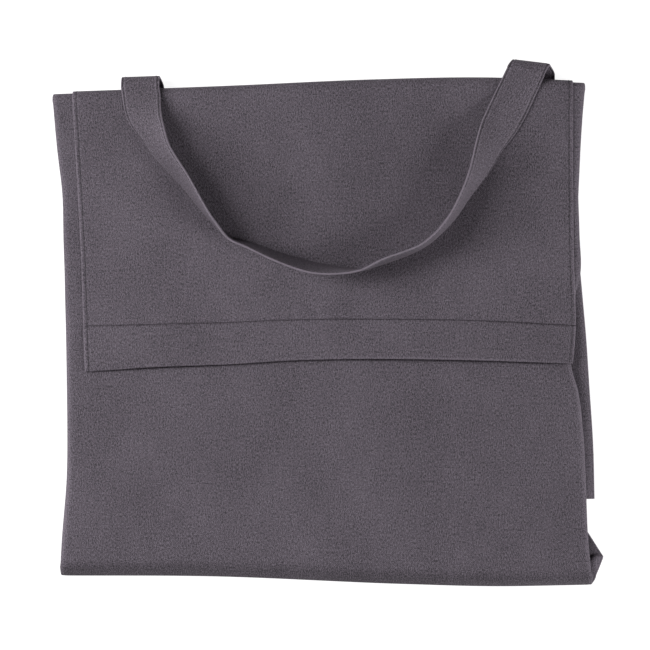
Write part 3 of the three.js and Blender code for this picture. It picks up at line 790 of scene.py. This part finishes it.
def band_piece(name, sections, width, thick, material):
    """A folded band, round at its edges and closed at its ends, and the four seams near its edges."""
    middles, widths = [np.array([section[i] for section in sections]) for i in (0, 1)]
    outs = np.cross(np.gradient(middles, axis=0), widths)
    outs /= np.linalg.norm(outs, axis=1)[:, None]
    along = run(middles)
    edge = width / 2
    seam_insets = [STRAP_SEAM - 0.35, STRAP_SEAM, 1.8, RIDGE_INSET, 2.8]
    half = edge - np.array([0, 0.1, 0.35, 0.7, *seam_insets, 3.6, 5, 7.5, 10, edge])
    offsets = np.concatenate([half, -half[-2::-1]])
    inside = edge - np.abs(offsets)
    scale = thick / STRAP_THICK
    groove = STRAP_GROOVE * scale
    ridge = hump(inside - RIDGE_INSET, RIDGE_WIDTH)
    bulge = thick / 2 * np.sqrt(1 - np.clip(1 - inside / (thick / 2), 0, 1) ** 2)
    bulge = bulge - groove * hump(inside - STRAP_SEAM, RIDGE_WIDTH) + STRAP_RIDGE * scale * ridge
    ring = np.concatenate([np.stack([offsets, bulge], axis=1), np.stack([-offsets, -bulge], axis=1)[1:]])
    ripple = STRAP_RIPPLE * scale * rumple(along, 0 * along, size=9, seed=4.4)
    rows = []
    for middle, wide, out, wave in zip(middles, widths, outs, ripple):
        rows.append([middle + wide * o + out * (b + wave * (1 - (o / edge) ** 2)) for o, b in ring])
    # wear with painted highlight at the strap's edges and ridge, painted shade in its seams' grooves
    pale_rim = np.clip(1 - inside / STRAP_PALE_REACH, 0, 1)
    band_wear_and_shading = pale_edge_dark_seam(inside, STRAP_SEAM, STRAP_PALE_REACH) + RIM_WEAR_AND_HIGHLIGHT * pale_rim + RIDGE_WEAR_AND_HIGHLIGHT * ridge
    wear_and_painted_light = np.tile(np.concatenate([band_wear_and_shading, band_wear_and_shading[1:]]), (len(rows), 1))
    bm = cloth_grid(np.array(rows), np.stack(np.meshgrid(run(ring), along), axis=2), wear_and_painted_light)
    bmesh.ops.remove_doubles(bm, verts=bm.verts, dist=1e-6)
    bmesh.ops.holes_fill(bm, edges=[e for e in bm.edges if e.is_boundary], sides=0)
    bmesh.ops.recalc_face_normals(bm, faces=bm.faces)
    seams = []
    for face in (-1, 1):
        for way in (-1, 1):
            line = middles + widths * way * (edge - STRAP_SEAM) + outs * face * (thick / 2 - groove + SUNK)
            seams.append((line, outs * face, STITCH_PITCH))
    return show(made(name, bm), material), seams


strap_twill = twill_finish("strap_twill", LIT_STRAP_GREY)
strap, strap_seams = band_piece("strap_cloth", strap_sections(), STRAP_WIDTH, STRAP_THICK, strap_twill)
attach(strap, "root")
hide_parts("neck_strap")
strap_stitches = sew("strap_stitches", strap_seams, thread, STRAP_THREAD)
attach(strap_stitches, "root")

# The waist ties
# Two bands of twill made as the strap is, one at each side of the waist. Folded up with the apron, they lie
# to and fro between its turned-in sides.

TIE_THICK = 0.7
TIE_TURN = 0.43  # radius where it turns back
TIE_OVER_SKIRT = 0.5
TIE_Z = SKIRT_Z + 2 * SIDE_RADIUS + TWILL / 2 + TIE_OVER_SKIRT + TIE_THICK / 2
TIE_RUNS = (20, 150, -150, 130)  # X where a tie starts, turns back twice and ends
WAIST_TIES = {"left": (-1, -150), "right": (1, -118)}  # the side that it comes from, and its Y


def tie_sections(side, y):
    """A tie's middles and widths, to and fro."""
    wide = Vector((0, side, 0))
    start, *turn_places, end = TIE_RUNS
    sections = [(Vector((side * start, y, TIE_Z)), wide)]
    z = TIE_Z
    for x in turn_places:
        for angle in np.linspace(0, np.pi, 7):
            bulge = math.copysign(TIE_TURN, x) * math.sin(angle)
            sections.append((Vector((side * (x + bulge), y, z + TIE_TURN * (1 - math.cos(angle)))), wide))
        z += 2 * TIE_TURN
    return sections + [(Vector((side * end, y, z)), wide)]


for name, (side, y) in WAIST_TIES.items():
    tie, _ = band_piece(f"tie_cloth_{name}", tie_sections(side, y), STRAP_WIDTH, TIE_THICK, strap_twill)
    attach(tie, "root")
    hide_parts(f"waist_tie_{name}")

# The table, the light and the camera
# A pale table that glows a little, as a light table does, two soft lights on each side, one above the
# other, and a camera straight above.

TABLE_HALF = 2.5  # in metres, as are the sizes below
TABLE_GREY, TABLE_GLOW, SKY_GLOW = (0.25, 0.25, 0.25, 1), 0.93, 0.01
WHITE = (1, 1, 1, 1)
SOFT_LIGHTS = {  # direction and height in degrees, distance and width in metres, and power in watts
    "left_softbox": (164, 48, 1.4, 0.5, 10.2),
    "low_left_softbox": (170, 27, 2, 0.7, 26),
    "right_softbox": (-22, 36, 2.2, 0.6, 20),
    "low_right_softbox": (-22, 13, 2.2, 0.6, 19.5),
}
CAMERA_X, CAMERA_Y, CAMERA_HEIGHT = -0.0026, -0.0011, 1.813
FIELD = 0.442  # the width that the picture takes in at the front's height
SENSOR = 36  # in the camera's own millimetres

bm = bmesh.new()
bmesh.ops.create_grid(bm, x_segments=1, y_segments=1, size=TABLE_HALF)
white = bpy.data.materials.new("white_table")
white.use_nodes = True
top_shader = white.node_tree.nodes["Principled BSDF"]
top_shader.inputs["Base Color"].default_value = TABLE_GREY
top_shader.inputs["Roughness"].default_value = 0.9
top_shader.inputs["Emission Color"].default_value = WHITE
top_shader.inputs["Emission Strength"].default_value = TABLE_GLOW
table_top = show(made("table_top", bm), white)

world = bpy.data.worlds.new("studio")
world.use_nodes = True
world.node_tree.nodes["Background"].inputs["Color"].default_value = WHITE
world.node_tree.nodes["Background"].inputs["Strength"].default_value = SKY_GLOW
bpy.context.scene.world = world

for name, (direction, height, distance, width, power) in SOFT_LIGHTS.items():
    light = bpy.data.lights.new(name, "AREA")
    light.size = width
    light.energy = power
    lamp = bpy.data.objects.new(name, light)
    upward = Vector((0, 0, math.sin(math.radians(height))))
    away = level(direction) * math.cos(math.radians(height)) + upward
    lamp.location = away * distance
    lamp.rotation_euler = (-away).to_track_quat("-Z", "Y").to_euler()
    bpy.context.collection.objects.link(lamp)

camera = bpy.data.objects.new("camera", bpy.data.cameras.new("camera"))
camera.location = (CAMERA_X, CAMERA_Y, CAMERA_HEIGHT)
camera.data.sensor_width = SENSOR
camera.data.lens = SENSOR * (CAMERA_HEIGHT - FRONT_Z * MM) / FIELD
camera.data.clip_end = 10
bpy.context.collection.objects.link(camera)
bpy.context.scene.camera = camera
bpy.context.scene.view_settings.view_transform = "Standard"
